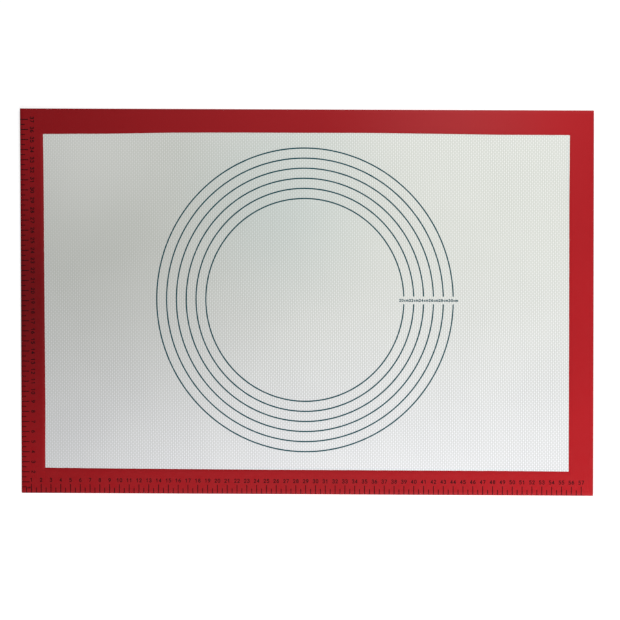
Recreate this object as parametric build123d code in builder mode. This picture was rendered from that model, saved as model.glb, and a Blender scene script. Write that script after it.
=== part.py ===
from build123d import *
import os

# Silicone baking mat, in millimetres. X runs along the mat, Y across it and Z up. The origin is the
# middle of the underside, which lies flat on whatever carries the mat. The long ruler is along the -Y
# edge and the short one along the -X edge.

# Mat outline
mat_length = 582.0
mat_width = 382.0
corner_radius = 0.6

# Layers, from the underside up
back_coat_thickness = 0.2
cloth_thickness = 0.2
front_coat_thickness = 0.2
border_thickness = 0.1
ink_thickness = 0.03

# Red border, and the red seal that closes the cut edge of the cloth and its coats
border_width = 24.0
field_corner_radius = 1.5
seal_width = 1.0

# Circle guides, each broken at its label. A printed line lies outside its circle, which the rolled dough
# fills. The largest circle keeps clear of the red border.
circle_count = 6
circle_clearance = 17.0
circle_diameter_step = 20.0
circle_line_width = 1.3
circle_centre_x = -1.7
circle_centre_y = 2.0
label_gap = 7.6

# Circle labels, each of which gives its circle's diameter as a count of centimetres
first_label_count = 20
label_step_count = 2
label_figure_width = 2.05
label_figure_height = 3.0
label_line_width = 0.68
label_spacing = 0.38

# Rulers, whose ticks start just inside the mat's edge. One division is a centimetre.
ruler_division = 10.0
tick_margin = 0.3
tick_width = 0.8
ruler_end_clearance = 8.0
long_ruler_start = 0.0
long_ruler_tick = 9.0
long_ruler_half_tick = 5.5
long_ruler_figure_middle = 13.1
short_ruler_start = 1.0
short_ruler_tick = 8.2
short_ruler_half_tick = 5.0
short_ruler_figure_middle = 12.2
short_ruler_figure_angle = -90

# Ruler numbers
figure_width = 2.6
figure_height = 4.0
figure_line_width = 0.7
figure_spacing = 0.6

# Unit sign between the first ticks of the two rulers
unit_figure_width = 1.4
unit_figure_height = 2.6
unit_line_width = 0.45
unit_spacing = 0.3
unit_middle_x = 7.5
unit_middle_y = 5.6

# Pen strokes of each figure, in shares of its width and height as measured between the line's middles.
# A run of two points is straight, and a run of three is an arc through the middle one.
stroke_shares = {
    "0": [
        [[(0, 0.71), (0.5, 1), (1, 0.71)], [(1, 0.71), (1, 0.29)]],
        [[(1, 0.29), (0.5, 0), (0, 0.29)], [(0, 0.29), (0, 0.71)]],
    ],
    "1": [[[(0.1, 0.74), (0.56, 1)], [(0.56, 1), (0.56, 0)]]],
    "2": [[[(0.02, 0.76), (0.58, 0.99), (0.78, 0.52)], [(0.78, 0.52), (0, 0)], [(0, 0), (1, 0)]]],
    "3": [[[(0.06, 0.84), (0.92, 0.76), (0.42, 0.54)]], [[(0.42, 0.54), (1, 0.28), (0, 0.16)]]],
    "4": [[[(0.74, 0), (0.74, 1)], [(0.74, 1), (0, 0.27)]], [[(0, 0.27), (1, 0.27)]]],
    "5": [[[(0.9, 1), (0.14, 1)], [(0.14, 1), (0.06, 0.55)]], [[(0.06, 0.55), (1, 0.33), (0, 0.1)]]],
    "6": [
        [[(0, 0.29), (0.5, 0.58), (1, 0.29)]],
        [[(1, 0.29), (0.5, 0), (0, 0.29)], [(0, 0.29), (0.23, 0.75), (0.8, 1)]],
    ],
    "7": [[[(0, 1), (1, 1)], [(1, 1), (0.36, 0)]]],
    "8": [
        [[(0.02, 0.27), (0.5, 0.54), (0.98, 0.27)]],
        [[(0.98, 0.27), (0.5, 0), (0.02, 0.27)]],
        [[(0.1, 0.77), (0.5, 1), (0.9, 0.77)]],
        [[(0.9, 0.77), (0.5, 0.54), (0.1, 0.77)]],
    ],
    "9": [
        [[(1, 0.71), (0.5, 0.42), (0, 0.71)]],
        [[(0, 0.71), (0.5, 1), (1, 0.71)], [(1, 0.71), (0.77, 0.25), (0.2, 0)]],
    ],
    "c": [[[(0.72, 0.57), (0, 0.34), (0.72, 0.11)]]],
    "m": [
        [[(0, 0), (0, 0.66)]],
        [[(0, 0.42), (0.38, 0.68), (0.76, 0.42)], [(0.76, 0.42), (0.76, 0)]],
        [[(0.76, 0.42), (1.14, 0.68), (1.52, 0.42)], [(1.52, 0.42), (1.52, 0)]],
    ],
}
width_shares = {"c": 0.72, "m": 1.52}

# Levels and spans that the pieces share
cloth_level = back_coat_thickness
front_coat_level = cloth_level + cloth_thickness
field_face = front_coat_level + front_coat_thickness
border_face = field_face + border_thickness
sheet_length = mat_length - 2 * seal_width
sheet_width = mat_width - 2 * seal_width
field_length = mat_length - 2 * border_width
field_width = mat_width - 2 * border_width
largest_circle_diameter = field_width - 2 * circle_clearance
smallest_circle_diameter = largest_circle_diameter - (circle_count - 1) * circle_diameter_step
left_edge = -mat_length / 2
bottom_edge = -mat_width / 2
long_ruler_zero = left_edge + long_ruler_start
short_ruler_zero = bottom_edge + short_ruler_start
long_ruler_count = int((mat_length - long_ruler_start - ruler_end_clearance) / ruler_division)
short_ruler_count = int((mat_width - short_ruler_start - ruler_end_clearance) / ruler_division)

os.makedirs("parts", exist_ok=True)


def finish_piece(piece, name):
    """Labels a finished piece and writes it under its own name."""
    piece.part.label = name
    export_step(piece.part, f"parts/{name}.step")


def figure_outline(figure, width, height, line_width):
    """One figure drawn with a round-ended line, its lower left line end on the origin."""
    across, up = width - line_width, height - line_width
    with BuildSketch() as outline:
        for stroke in stroke_shares[figure]:
            with BuildLine(mode=Mode.PRIVATE) as pen:
                for run in stroke:
                    points = [(x_share * across, y_share * up) for x_share, y_share in run]
                    if len(points) == 2:
                        Line(*points)
                    else:
                        ThreePointArc(*points)
            SlotArc(pen.wire(), line_width)
    return outline.sketch


def print_words(words, width, height, line_width, spacing):
    """Adds words to the sketch in hand, each given as its text, its middle and its turn in degrees. A
    space in a text stands in for a figure that isn't printed, and holds its width."""
    across = width - line_width
    starts = {}
    for text, middle, turn in words:
        spans = [across * width_shares.get(figure, 1) for figure in text]
        x = -(sum(spans) + (line_width + spacing) * (len(text) - 1)) / 2
        for figure, span in zip(text, spans):
            start = Location(middle, (0, 0, turn)) * Location((x, (line_width - height) / 2, 0))
            starts.setdefault(figure, []).append(start)
            x += span + line_width + spacing
    starts.pop(" ", None)
    for figure, places in starts.items():
        outline = figure_outline(figure, width, height, line_width)
        with Locations(*places):
            add(outline)


# Woven glass cloth in the middle of the sheet, as one plain layer
with BuildPart() as glass_cloth:
    with BuildSketch(Plane.XY.offset(cloth_level)):
        Rectangle(sheet_length, sheet_width)
    extrude(amount=cloth_thickness)
finish_piece(glass_cloth, "glass_cloth")

# Clear silicone coat under the cloth, which the mat lies on
with BuildPart() as back_coat:
    with BuildSketch(Plane.XY):
        Rectangle(sheet_length, sheet_width)
    extrude(amount=back_coat_thickness)
finish_piece(back_coat, "back_silicone_coat")

# Clear silicone coat over the cloth, which shows as the white field
with BuildPart() as front_coat:
    with BuildSketch(Plane.XY.offset(front_coat_level)):
        Rectangle(sheet_length, sheet_width)
    extrude(amount=front_coat_thickness)
finish_piece(front_coat, "front_silicone_coat")

# Red silicone bead round the cut edge, as tall as the three layers
with BuildPart() as edge_seal:
    with BuildSketch(Plane.XY):
        RectangleRounded(mat_length, mat_width, corner_radius)
        Rectangle(sheet_length, sheet_width, mode=Mode.SUBTRACT)
    extrude(amount=field_face)
finish_piece(edge_seal, "edge_seal")

# Red silicone border over the front coat and the seal
with BuildPart() as red_border:
    with BuildSketch(Plane.XY.offset(field_face)):
        RectangleRounded(mat_length, mat_width, corner_radius)
        RectangleRounded(field_length, field_width, field_corner_radius, mode=Mode.SUBTRACT)
    extrude(amount=border_thickness)
finish_piece(red_border, "red_border")

# Circle guides and their labels, from the smallest out
for place in range(circle_count):
    radius = (smallest_circle_diameter + place * circle_diameter_step) / 2
    label_middle = (circle_centre_x + radius + circle_line_width / 2, circle_centre_y)

    with BuildPart() as circle_guide:
        with BuildSketch(Plane.XY.offset(field_face)):
            with Locations((circle_centre_x, circle_centre_y)):
                Circle(radius + circle_line_width)
                Circle(radius, mode=Mode.SUBTRACT)
            with Locations(label_middle):
                Rectangle(label_gap, label_gap, mode=Mode.SUBTRACT)
        extrude(amount=ink_thickness)
    finish_piece(circle_guide, f"circle_guide_{place + 1}")

    with BuildPart() as circle_label:
        with BuildSketch(Plane.XY.offset(field_face)):
            words = [(f"{first_label_count + place * label_step_count}cm", label_middle, 0)]
            print_words(words, label_figure_width, label_figure_height, label_line_width, label_spacing)
        extrude(amount=ink_thickness)
    finish_piece(circle_label, f"circle_label_{place + 1}")

# Long ruler: ticks up from the -Y edge
for name, tick_length, first_share in (
    ("long_ruler_ticks", long_ruler_tick, 1),
    ("long_ruler_half_ticks", long_ruler_half_tick, 0.5),
):
    middle_x = long_ruler_zero + (first_share + (long_ruler_count - 1) / 2) * ruler_division
    with BuildPart() as long_ticks:
        with BuildSketch(Plane.XY.offset(border_face)):
            with Locations((middle_x, bottom_edge + (tick_margin + tick_length) / 2)):
                with GridLocations(ruler_division, ruler_division, long_ruler_count, 1):
                    Rectangle(tick_width, tick_length - tick_margin)
        extrude(amount=ink_thickness)
    finish_piece(long_ticks, name)

# Short ruler: ticks in from the -X edge
for name, tick_length, first_share in (
    ("short_ruler_ticks", short_ruler_tick, 1),
    ("short_ruler_half_ticks", short_ruler_half_tick, 0.5),
):
    middle_y = short_ruler_zero + (first_share + (short_ruler_count - 1) / 2) * ruler_division
    with BuildPart() as short_ticks:
        with BuildSketch(Plane.XY.offset(border_face)):
            with Locations((left_edge + (tick_margin + tick_length) / 2, middle_y)):
                with GridLocations(ruler_division, ruler_division, 1, short_ruler_count):
                    Rectangle(tick_length - tick_margin, tick_width)
        extrude(amount=ink_thickness)
    finish_piece(short_ticks, name)

# Numbers of the rulers, as their tens and their units. The long ruler's are upright. The short ruler's
# have their tops towards the field, and start with the second, as the first would meet the long ruler's.
number_y = bottom_edge + long_ruler_figure_middle
long_places = [
    (number, (long_ruler_zero + number * ruler_division, number_y), 0)
    for number in range(1, long_ruler_count + 1)
]
number_x = left_edge + short_ruler_figure_middle
short_places = [
    (number, (number_x, short_ruler_zero + number * ruler_division), short_ruler_figure_angle)
    for number in range(2, short_ruler_count + 1)
]
for ruler, places in (("long_ruler", long_places), ("short_ruler", short_places)):
    tens = [(f"{number // 10} ", middle, turn) for number, middle, turn in places if number > 9]
    units = [
        (f" {number % 10}" if number > 9 else f"{number}", middle, turn)
        for number, middle, turn in places
    ]
    for name, words in (("tens", tens), ("units", units)):
        with BuildPart() as ruler_figures:
            with BuildSketch(Plane.XY.offset(border_face)):
                print_words(words, figure_width, figure_height, figure_line_width, figure_spacing)
            extrude(amount=ink_thickness)
        finish_piece(ruler_figures, f"{ruler}_{name}")

# Unit sign in the corner that the rulers share
with BuildPart() as unit_sign:
    with BuildSketch(Plane.XY.offset(border_face)):
        words = [("cm", (left_edge + unit_middle_x, bottom_edge + unit_middle_y), 0)]
        print_words(words, unit_figure_width, unit_figure_height, unit_line_width, unit_spacing)
    extrude(amount=ink_thickness)
finish_piece(unit_sign, "unit_sign")
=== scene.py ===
import math

import bpy
import numpy as np
from mathutils import Matrix, Vector


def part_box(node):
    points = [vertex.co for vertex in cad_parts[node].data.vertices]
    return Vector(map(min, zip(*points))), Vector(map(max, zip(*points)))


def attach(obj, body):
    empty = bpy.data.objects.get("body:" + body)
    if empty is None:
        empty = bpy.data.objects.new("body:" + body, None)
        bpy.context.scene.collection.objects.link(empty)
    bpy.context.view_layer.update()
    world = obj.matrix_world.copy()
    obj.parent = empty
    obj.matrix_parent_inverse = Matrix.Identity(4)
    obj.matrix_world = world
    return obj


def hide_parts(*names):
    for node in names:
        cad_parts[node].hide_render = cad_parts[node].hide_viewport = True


# Silicone baking mat, in metres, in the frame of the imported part: X along the mat, Y across it, Z up.
# The mat lies on a pale floor and is seen from nearly straight above.
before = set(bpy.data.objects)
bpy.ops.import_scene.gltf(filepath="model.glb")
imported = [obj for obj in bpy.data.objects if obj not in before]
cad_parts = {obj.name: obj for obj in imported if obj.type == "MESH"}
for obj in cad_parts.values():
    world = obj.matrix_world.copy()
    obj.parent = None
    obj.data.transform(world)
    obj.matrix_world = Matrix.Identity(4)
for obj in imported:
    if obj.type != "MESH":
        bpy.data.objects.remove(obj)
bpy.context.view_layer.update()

# Sizes that the frame gives
mat_low, mat_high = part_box("edge_seal")
sheet_low, sheet_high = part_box("glass_cloth")
field_face = mat_high.z
border_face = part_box("red_border")[1].z
half_length, half_width = mat_high.x, mat_high.y
circle_count = sum(name.startswith("circle_guide_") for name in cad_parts)

# Red border, whose print isn't quite even: how far its inner edge stands in from an even border, from one
# end of the side to the other
border_width = 0.024
border_corner_radius = 0.0006
outer_corner_radius = 0.0006
border_soft_edge = 0.00005
soft_edge_drop = 0.3
bottom_wander = (0.0012, 0.0007, 0.0005, 0.0002, 0.0003, 0.0002, 0.0003, 0.0)
top_wander = (0.0014, 0.0009, -0.0004, -0.0007, -0.0007, -0.0008, -0.0002, 0.0005, 0.0005)
left_wander = (0.0003, 0.0006, 0.0003, 0.0, -0.0001, -0.0005)
right_wander = (0.0008, 0.0008, 0.0008, 0.0007, 0.0007, 0.0002)

# Printed circles, each broken at its label
circle_line_width = 0.0013
label_gap = 0.0076

# How the mat lies: a little out of square, in low waves, with its ends and corners a touch off the floor
taper_along = 0.0021
taper_across = -0.0019
rest_gap = 0.00005
wave_height = 0.0005
wave_length = 0.24
wave_start = 0.15
wave_slant = 1.1
second_wave_share = 0.6
second_wave_slant = 2.4
second_wave_start = 1
end_lift = 0.00025
end_lift_reach = 0.035
corner_lift = 0.0006
corner_lift_reach = 0.06

# Fineness of the meshes
grid_step = 0.005
corner_steps = 6
band_steps = 6
circle_steps = 360
seal_steps = 8
sharp_angle = math.radians(35)

# Glass cloth's yarn spacing along and across the mat
yarn_pitch_x = 0.00188
yarn_pitch_y = 0.00182
yarn_drift = 0.004
yarn_drift_scale = 9.0

# How much lighter the cloth is on its warp yarns, on its weft yarns and where the warp is on top
warp_lightness = 0.6
weft_lightness = 0.24
crossing_lightness = 0.24

# How high the weave stands in each surface, and the coat's fine grain
field_relief = 0.00002
back_relief = 0.00003
cloth_relief = 0.0001
print_relief = 0.000012
coat_grain = 0.000004
crossing_rise = 0.4

# Soft patches painted on the silicone, each with its middle, its reach and its strength: painted shadow,
# painted sheen and painted light, then the silicone's own tint and clearness
# Painted shadow: the red border darkened at the mat's left side
painted_shadow_red = ((-0.285, 0.0, 0.0), 0.17, 0.38)
# Painted sheen: a faint pale haze on the red near the top of the border
painted_sheen_red = ((0.155, 0.18, 0.0), 0.15, 0.014)
# Painted shadow: the field darkened at the mat's left side
painted_shadow_field = ((-0.16, 0.03, 0.0), 0.2, 0.1)
# Painted light: the field lightened near its top left corner
painted_light_field = ((-0.25, 0.16, 0.0), 0.13, 0.12)
cool_field = ((-0.025, 0.1, 0.0), 0.14, 0.1)
hidden_weave = ((-0.21, 0.08, 0.0), 0.16, 0.6)

# How much the field yellows from its front edge to its rear one
yellowed_share = 0.1


def lie(points):
    """Where points of the dead flat mat go as it really lies."""
    x, y, z = np.asarray(points, float).T
    along, across = x / half_length, y / half_width
    phase = 2 * np.pi * (x / wave_length + wave_start) + wave_slant * across
    second_phase = second_wave_share * phase + second_wave_slant * across + second_wave_start
    height = rest_gap + wave_height * (2 + np.sin(phase) + np.sin(second_phase)) / 4
    from_end = (1 - np.abs(along)) * half_length
    from_side = (1 - np.abs(across)) * half_width
    height += end_lift * np.exp(-from_end / end_lift_reach)
    height += corner_lift * np.exp(-np.hypot(from_end, from_side) / corner_lift_reach)
    return np.column_stack([x * (1 + taper_along * across), y * (1 + taper_across * along), z + height])


def add_piece(name, points, faces, material, nodes):
    """A mesh piece that lies as the mat does, rides on the mat's body and stands for CAD nodes."""
    mesh = bpy.data.meshes.new(name)
    mesh.from_pydata(lie(points).tolist(), [], faces)
    mesh.shade_smooth()
    mesh.set_sharp_from_angle(angle=sharp_angle)
    return finish_piece(name, mesh, material, nodes)


def finish_piece(name, mesh, material, nodes):
    """Puts a mesh in the scene with its material, body and the nodes that it stands for."""
    obj = bpy.data.objects.new(name, mesh)
    bpy.context.scene.collection.objects.link(obj)
    mesh.materials.clear()
    mesh.materials.append(material)
    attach(obj, "root")
    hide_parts(*nodes)
    return obj


def sheet_piece(name, low, high, material, node):
    """One flat layer of the mat, as a closed sheet of small cells."""
    across = round((sheet_high.x - sheet_low.x) / grid_step) + 1
    up = round((sheet_high.y - sheet_low.y) / grid_step) + 1
    x, y = np.meshgrid(
        np.linspace(sheet_low.x, sheet_high.x, across), np.linspace(sheet_low.y, sheet_high.y, up)
    )
    count = across * up
    points = [np.column_stack([x.ravel(), y.ravel(), np.full(count, z)]) for z in (low, high)]
    faces = []
    for row in range(up - 1):
        for column in range(across - 1):
            a = row * across + column
            b, c, d = a + 1, a + across + 1, a + across
            faces.append((a, d, c, b))
            faces.append((a + count, b + count, c + count, d + count))
    rim = [*range(across)]
    rim += [row * across + across - 1 for row in range(1, up)]
    rim += [(up - 1) * across + column for column in range(across - 2, -1, -1)]
    rim += [row * across for row in range(up - 2, 0, -1)]
    for a, b in zip(rim, rim[1:] + rim[:1]):
        faces.append((a, b, b + count, a + count))
    return add_piece(name, np.vstack(points), faces, material, [node])


def outline(inset, radius):
    """Points round the mat, that far inside its edge, with the same number of points for every inset."""
    x, y = half_length - inset - radius, half_width - inset - radius
    long_steps, short_steps = round(2 * half_length / grid_step), round(2 * half_width / grid_step)
    corners = (
        (x, -y, -90, short_steps),
        (x, y, 0, long_steps),
        (-x, y, 90, short_steps),
        (-x, -y, 180, long_steps),
    )
    runs = []
    for corner, (middle_x, middle_y, start, steps) in enumerate(corners):
        turn = np.radians(start + np.linspace(0, 90, corner_steps))
        runs.append(np.column_stack([middle_x + radius * np.cos(turn), middle_y + radius * np.sin(turn)]))
        next_x, next_y, next_start, _ = corners[(corner + 1) % 4]
        next_turn = math.radians(next_start)
        end = np.array([next_x + radius * math.cos(next_turn), next_y + radius * math.sin(next_turn)])
        shares = np.linspace(0, 1, steps + 1)[1:-1, None]
        runs.append(runs[-1][-1] * (1 - shares) + end * shares)
    return np.vstack(runs)


def add_band(name, rings, material, nodes):
    """A closed band round the mat from the rings of its cross-section, in order."""
    count = len(rings[0])
    faces = []
    for ring in range(len(rings)):
        this, following = ring * count, (ring + 1) % len(rings) * count
        for a in range(count):
            b = (a + 1) % count
            faces.append((this + a, this + b, following + b, following + a))
    return add_piece(name, np.vstack(rings), faces, material, nodes)


def at_level(points, level):
    """Points of an outline at one height."""
    return np.column_stack([points, np.full(len(points), level)])


def wandering(points):
    """The border's inner edge with the small wander of its print."""
    x, y = points.T
    reach_x, reach_y = np.abs(x).max(), np.abs(y).max()

    def in_from(side, place, reach):
        return np.interp(place / reach, np.linspace(-1, 1, len(side)), side)

    in_y = np.where(y > 0, in_from(top_wander, x, reach_x), in_from(bottom_wander, x, reach_x))
    in_x = np.where(x > 0, in_from(right_wander, y, reach_y), in_from(left_wander, y, reach_y))
    return np.column_stack([x * (1 - in_x / reach_x), y * (1 - in_y / reach_y)])


class Nodes:
    """A material's node tree, with calls that add a node and join it up."""

    def __init__(self, name):
        self.material = bpy.data.materials.new(name)
        self.material.use_nodes = True
        self.tree = self.material.node_tree
        self.shader = self.tree.nodes["Principled BSDF"]

    def feed(self, socket, value):
        if isinstance(value, bpy.types.NodeSocket):
            self.tree.links.new(value, socket)
        else:
            socket.default_value = value

    def add(self, kind, output, inputs, **settings):
        node = self.tree.nodes.new("ShaderNode" + kind)
        for name, value in settings.items():
            setattr(node, name, value)
        for name, value in inputs.items():
            self.feed(node.inputs[name], value)
        return node.outputs[output]

    def math(self, operation, a, b=0.0, c=0.0):
        return self.add("Math", 0, {0: a, 1: b, 2: c}, operation=operation)

    def noise(self, place, scale, detail=2.0):
        return self.add("TexNoise", "Fac", {"Vector": place, "Scale": scale, "Detail": detail})

    def blend(self, share, a, b):
        return self.add(
            "Mix", 2, {0: share, 6: a, 7: b}, data_type="RGBA", blend_type="MIX", clamp_factor=True
        )

    def between(self, value, low, high, low_result=0.0, high_result=1.0):
        inputs = {"Value": value, "From Min": low, "From Max": high}
        inputs.update({"To Min": low_result, "To Max": high_result})
        return self.add("MapRange", "Result", inputs, interpolation_type="SMOOTHSTEP")

    def bump(self, height, distance, normal=None):
        inputs = {"Height": height, "Distance": distance, "Strength": 1.0}
        if normal is not None:
            inputs["Normal"] = normal
        return self.add("Bump", "Normal", inputs)

    def place(self):
        return self.add("TexCoord", "Object", {})

    def weave(self, place):
        """Lightness and height of a plain weave, from about 0 in its holes to about 1 on its yarns."""
        drift = self.add("TexNoise", "Color", {"Vector": place, "Scale": yarn_drift_scale, "Detail": 1.0})
        drift = self.add("VectorMath", 0, {0: drift, 1: (0.5, 0.5, 0.5)}, operation="SUBTRACT")
        drift = self.add("VectorMath", 0, {0: drift, 1: (yarn_drift, yarn_drift, 0.0)}, operation="MULTIPLY")
        place = self.add("VectorMath", 0, {0: place, 1: drift}, operation="ADD")
        split = self.tree.nodes.new("ShaderNodeSeparateXYZ")
        self.feed(split.inputs[0], place)
        across = self.math("COSINE", self.math("MULTIPLY", split.outputs["X"], math.pi / yarn_pitch_x))
        along = self.math("COSINE", self.math("MULTIPLY", split.outputs["Y"], math.pi / yarn_pitch_y))
        warp = self.math("MULTIPLY", across, across)
        weft = self.math("MULTIPLY", along, along)
        over = self.math("MULTIPLY", across, along)
        middle = (1 - warp_lightness - weft_lightness) / 2
        lightness = self.math("MULTIPLY_ADD", warp, warp_lightness, middle)
        lightness = self.math("MULTIPLY_ADD", weft, weft_lightness, lightness)
        lightness = self.math("MULTIPLY_ADD", over, crossing_lightness, lightness)
        warp_height = self.math("MULTIPLY", warp, self.math("MULTIPLY_ADD", over, crossing_rise, 1.0))
        weft_height = self.math("MULTIPLY", weft, self.math("MULTIPLY_ADD", over, -crossing_rise, 1.0))
        return lightness, self.math("MAXIMUM", warp_height, weft_height)

    def patch(self, place, middle, reach, strength):
        """A soft round patch: its strength at the middle, down to nothing at its reach."""
        distance = self.add("VectorMath", "Value", {0: place, 1: middle}, operation="DISTANCE")
        return self.between(distance, 0.0, reach, strength, 0.0)

    def finish(self, colour, roughness, normal, specular=0.5):
        self.feed(self.shader.inputs["Base Color"], colour)
        self.feed(self.shader.inputs["Roughness"], roughness)
        self.feed(self.shader.inputs["Normal"], normal)
        self.shader.inputs["IOR"].default_value = 1.41
        self.shader.inputs["Specular IOR Level"].default_value = specular
        return self.material


def milky_silicone():
    """Clear silicone over glass cloth: pale yarns, darker holes and a cloudy, uneven coat, with a painted
    shadow at the mat's left side and painted light near the field's top left corner.
    """
    n = Nodes("milky_silicone")
    place = n.place()
    lightness, height = n.weave(place)
    cloud = n.noise(place, 14.0)
    clearness = n.between(n.noise(place, 5.0), 0.35, 0.65, 0.8, 1.1)
    clearness = n.math("SUBTRACT", clearness, n.patch(place, *hidden_weave))
    lightness = n.math("MULTIPLY_ADD", n.math("SUBTRACT", lightness, 0.5), clearness, 0.5)
    colour = n.blend(lightness, (0.286, 0.29, 0.289, 1), (0.556, 0.56, 0.578, 1))
    split = n.tree.nodes.new("ShaderNodeSeparateXYZ")
    n.feed(split.inputs[0], place)
    yellowing = n.between(split.outputs["Y"], -half_width, half_width / 2, 0.0, yellowed_share)
    colour = n.blend(yellowing, colour, (0.45, 0.53, 0.18, 1))
    colour = n.blend(n.between(cloud, 0.3, 0.7, 0.0, 0.1), colour, (0.5, 0.505, 0.485, 1))
    # Painted shadow: the field darkened towards black at the mat's left side
    colour = n.blend(n.patch(place, *painted_shadow_field), colour, (0.0, 0.0, 0.0, 1))
    # Painted light: the field blended toward white near its top left corner
    colour = n.blend(n.patch(place, *painted_light_field), colour, (1.0, 1.0, 1.0, 1))
    colour = n.blend(n.patch(place, *cool_field), colour, (0.0, 0.2, 0.25, 1))
    grain = n.noise(place, 900.0, 1.0)
    roughness = n.between(cloud, 0.3, 0.7, 0.42, 0.5)
    normal = n.bump(grain, coat_grain, n.bump(height, field_relief))
    return n.finish(colour, roughness, normal, 0.4)


def back_silicone():
    """The same coat from behind, where the red border shows dully through."""
    n = Nodes("back_silicone")
    place = n.place()
    lightness, height = n.weave(place)
    cloth = n.blend(lightness, (0.32, 0.326, 0.307, 1), (0.56, 0.566, 0.547, 1))
    dulled = n.blend(lightness, (0.15, 0.03, 0.033, 1), (0.31, 0.09, 0.095, 1))
    split = n.tree.nodes.new("ShaderNodeSeparateXYZ")
    n.feed(split.inputs[0], place)
    from_end = n.math("SUBTRACT", half_length - border_width, n.math("ABSOLUTE", split.outputs["X"]))
    from_side = n.math("SUBTRACT", half_width - border_width, n.math("ABSOLUTE", split.outputs["Y"]))
    inside = n.math("MINIMUM", from_end, from_side)
    colour = n.blend(n.between(inside, -0.0004, 0.0004), dulled, cloth)
    roughness = n.between(n.noise(place, 14.0), 0.3, 0.7, 0.4, 0.5)
    return n.finish(colour, roughness, n.bump(height, back_relief))


def woven_glass():
    """Bare glass cloth, which is closed in between the two coats."""
    n = Nodes("woven_glass")
    lightness, height = n.weave(n.place())
    colour = n.blend(lightness, (0.25, 0.25, 0.23, 1), (0.75, 0.74, 0.68, 1))
    return n.finish(colour, 0.6, n.bump(height, cloth_relief))


def red_silicone():
    """Deep red silicone with the weave telegraphing faintly through, painted brighter to the right as painted
    light, with a painted shadow at the mat's left side and a faint painted sheen near the top of the border.
    """
    n = Nodes("red_silicone")
    place = n.place()
    lightness, height = n.weave(place)
    split = n.tree.nodes.new("ShaderNodeSeparateXYZ")
    n.feed(split.inputs[0], place)
    # Painted light: the red is painted brighter towards the right, the side that the lamps light more
    painted_light_rightward = n.between(split.outputs["X"], 0.0, half_length)
    colour = n.blend(painted_light_rightward, (0.192, 0.0035, 0.0058, 1), (0.247, 0.004, 0.0068, 1))
    colour = n.blend(n.between(n.noise(place, 11.0), 0.3, 0.7, 0.0, 0.12), colour, (0.17, 0.003, 0.005, 1))
    colour = n.blend(n.math("MULTIPLY", lightness, 0.08), colour, (0.3, 0.012, 0.016, 1))
    # Painted shadow: the red darkened towards black at the mat's left side
    colour = n.blend(n.patch(place, *painted_shadow_red), colour, (0.0, 0.0, 0.0, 1))
    # Painted sheen: the red blended a little toward grey near the top of the border
    colour = n.blend(n.patch(place, *painted_sheen_red), colour, (0.6, 0.6, 0.6, 1))
    roughness = n.between(n.noise(place, 260.0), 0.3, 0.7, 0.42, 0.52)
    return n.finish(colour, roughness, n.bump(height, print_relief), 0.2)


def printed_ink(name, thin, thick):
    """Silicone printing ink, thinner in places."""
    n = Nodes(name)
    place = n.place()
    height = n.weave(place)[1]
    patch = n.noise(place, 1500.0)
    colour = n.blend(n.between(patch, 0.3, 0.7), thin, thick)
    return n.finish(colour, n.between(patch, 0.3, 0.7, 0.5, 0.6), n.bump(height, print_relief), 0.12)


def pale_floor():
    """Plain pale tabletop that glows a little, so that it stays pale beside the mat."""
    n = Nodes("pale_floor")
    cloud = n.noise(n.place(), 2.0)
    colour = n.blend(n.between(cloud, 0.3, 0.7), (0.3, 0.3, 0.3, 1), (0.31, 0.31, 0.31, 1))
    n.shader.inputs["Emission Color"].default_value = (1.0, 1.0, 1.0, 1)
    n.shader.inputs["Emission Strength"].default_value = 0.75
    return n.finish(colour, 0.7, n.bump(cloud, 0.00001), 0.2)


# Sheet: the two silicone coats with the glass cloth between them
milky, back_milky = milky_silicone(), back_silicone()
cloth_low, cloth_high = sheet_low.z, sheet_high.z
back_coat = sheet_piece(
    "mat_back_coat", mat_low.z, cloth_low, back_milky, "back_silicone_coat"
)
cloth = sheet_piece("mat_glass_cloth", cloth_low, cloth_high, woven_glass(), "glass_cloth")
front_coat = sheet_piece(
    "mat_front_coat", cloth_high, field_face, milky, "front_silicone_coat"
)

# Edge seal: a bead with a round outer edge
red = red_silicone()
bead = field_face / 2
bead_angles = np.radians(np.linspace(90, -90, seal_steps + 1))
seal_width = half_length - sheet_high.x
profile = [(seal_width, field_face)]
profile += [(bead - bead * math.cos(a), bead + bead * math.sin(a)) for a in bead_angles]
profile += [(seal_width, 0.0)]
seal_rings = [at_level(outline(inset, outer_corner_radius), level) for inset, level in profile]
edge_seal = add_band("mat_edge_seal", seal_rings[::-1], red, ["edge_seal"])

# Red border: printed over the front coat and the seal, with soft edges
inner_edge = wandering(outline(border_width, border_corner_radius))
outer_edge = outline(0.0, outer_corner_radius)
soft_share = border_soft_edge / border_width
top_shares = [0, soft_share / 3, soft_share]
top_shares += [step / band_steps for step in range(1, band_steps)]
top_shares += [1 - soft_share, 1 - soft_share / 3, 1]
top_levels = [-1, -soft_edge_drop, *[0] * (band_steps + 1), -soft_edge_drop, -1]
border_rings = [
    at_level(inner_edge * (1 - share) + outer_edge * share, border_face + level * border_soft_edge)
    for share, level in zip(top_shares, top_levels)
]
border_rings += [
    at_level(inner_edge * (1 - share) + outer_edge * share, field_face)
    for share in np.linspace(1, 0, band_steps + 1)
]
border = add_band("mat_red_border", border_rings, red, ["red_border"])

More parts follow.
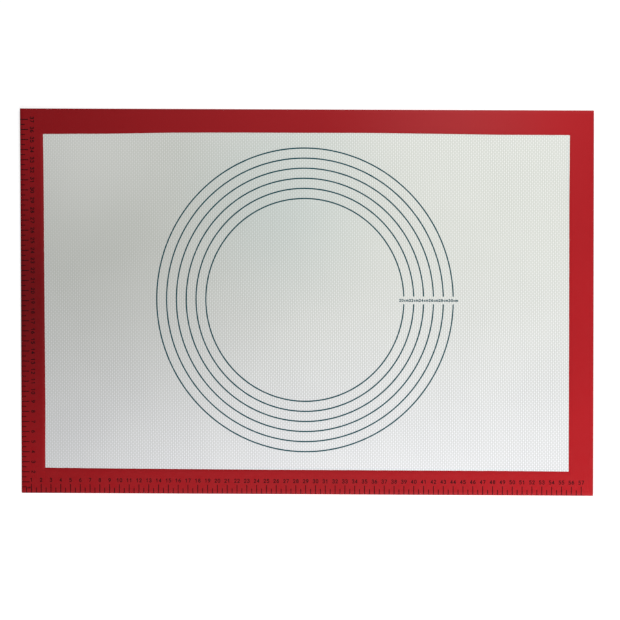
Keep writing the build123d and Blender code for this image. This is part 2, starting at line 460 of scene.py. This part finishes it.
# Circle guides, as fine arcs
teal = printed_ink("teal_ink", (0.003, 0.05, 0.062, 1), (0.001, 0.032, 0.042, 1))
dark = printed_ink("dark_ink", (0.02, 0.0015, 0.003, 1), (0.01, 0.001, 0.002, 1))
for number in range(1, circle_count + 1):
    low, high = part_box(f"circle_guide_{number}")
    outer = (high.y - low.y) / 2
    inner = outer - circle_line_width
    middle_x, middle_y = low.x + outer, (low.y + high.y) / 2
    open_angle = math.asin(label_gap / 2 / ((inner + outer) / 2))
    angles = np.linspace(open_angle, 2 * math.pi - open_angle, circle_steps + 1)
    corners = ((inner, low.z), (outer, low.z), (outer, high.z), (inner, high.z))
    arcs = []
    for radius, level in corners:
        arc = np.column_stack([middle_x + radius * np.cos(angles), middle_y + radius * np.sin(angles)])
        arcs.append(at_level(arc, level))
    stations = len(angles)
    faces = []
    for corner in range(4):
        this, following = corner * stations, (corner + 1) % 4 * stations
        faces += [(this + a, following + a, following + a + 1, this + a + 1) for a in range(circle_steps)]
    faces.append(tuple(corner * stations for corner in (3, 2, 1, 0)))
    faces.append(tuple(corner * stations + circle_steps for corner in range(4)))
    name, node = f"circle_line_{number}", f"circle_guide_{number}"
    add_piece(name, np.vstack(arcs), faces, teal, [node])

# Printed figures and ticks, which take their shape from the frame and lie as the mat does
for node, obj in sorted(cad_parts.items()):
    if node.startswith("circle_label_"):
        name, material, slot = node.replace("label", "figures"), teal, "teal_ink"
    elif node.startswith(("long_ruler", "short_ruler", "unit_sign")):
        name, material, slot = node + "_print", dark, "dark_ink"
    else:
        continue
    mesh = obj.data.copy()
    flat = np.zeros(len(mesh.vertices) * 3)
    mesh.vertices.foreach_get("co", flat)
    mesh.vertices.foreach_set("co", lie(flat.reshape(-1, 3)).ravel())
    mesh.update()
    finish_piece(name, mesh, material, [node])

# Floor
floor_size = 30.0
floor_gap = 0.0002
floor_mesh = bpy.data.meshes.new("floor")
corner = floor_size / 2
floor_mesh.from_pydata(
    [(-corner, -corner, 0), (corner, -corner, 0), (corner, corner, 0), (-corner, corner, 0)],
    [],
    [(0, 1, 2, 3)],
)
floor = bpy.data.objects.new("floor", floor_mesh)
floor.location.z = -floor_gap
floor_mesh.materials.append(pale_floor())
bpy.context.scene.collection.objects.link(floor)


# Lights: soft boxes low in front, behind and at the right, which leave the mat's left side darker, and a weak
# one overhead
low_light_size = 0.5
low_lights = {
    "front_light": ((0.0, -0.6, 0.35), 7.4),
    "rear_light": ((0.2, 0.6, 0.35), 5.9),
    "right_light": ((0.6, -0.2, 0.35), 3.5),
}
overhead_light_place = (-0.10, 0.25, 1.0)
overhead_light_target = (-0.10, 0.25, 0.0)
overhead_light_size = 0.22
overhead_light_power = 1.2
world_strength = 0.04


def add_box_light(name, place, target, size, power):
    """A square soft box at a place, turned to a target."""
    data = bpy.data.lights.new(name, "AREA")
    data.size, data.energy = size, power
    light = bpy.data.objects.new(name, data)
    light.location = place
    light.rotation_euler = (Vector(place) - Vector(target)).to_track_quat("Z", "Y").to_euler()
    light.visible_camera = False
    bpy.context.scene.collection.objects.link(light)


middle_of_mat = (0.0, 0.0, 0.0)
for name, (place, power) in low_lights.items():
    add_box_light(name, place, middle_of_mat, low_light_size, power)
add_box_light(
    "overhead_light",
    overhead_light_place,
    overhead_light_target,
    overhead_light_size,
    overhead_light_power,
)
world = bpy.data.worlds.new("studio")
world.use_nodes = True
world.node_tree.nodes["Background"].inputs["Color"].default_value = (1.0, 1.0, 1.0, 1)
world.node_tree.nodes["Background"].inputs["Strength"].default_value = world_strength
bpy.context.scene.world = world
bpy.context.scene.view_settings.view_transform = "Standard"

# Camera: the photograph's angle, a long way off
photo_width = 620
sensor_width = 36.0
camera_distance = 20.0
tilt_x, tilt_y, roll = math.radians(12.561), math.radians(1.538), math.radians(0.071)
aim = Vector((0.003448, -0.008021, 0.0))
pixels_per_metre = 1008.15
camera_data = bpy.data.cameras.new("camera")
camera_data.sensor_width = sensor_width
camera_data.lens = pixels_per_metre * camera_distance * sensor_width / photo_width
camera_data.clip_start, camera_data.clip_end = 1.0, 60.0
camera = bpy.data.objects.new("camera", camera_data)
back = Vector((math.tan(tilt_x), math.tan(tilt_y), 1)).normalized()
up = Vector((math.sin(roll), math.cos(roll), 0))
up = (up - up.dot(back) * back).normalized()
right = up.cross(back)
turn = Matrix((right, up, back)).transposed().to_4x4()
camera.matrix_world = Matrix.Translation(aim + back * camera_distance) @ turn
bpy.context.scene.collection.objects.link(camera)
bpy.context.scene.camera = camera
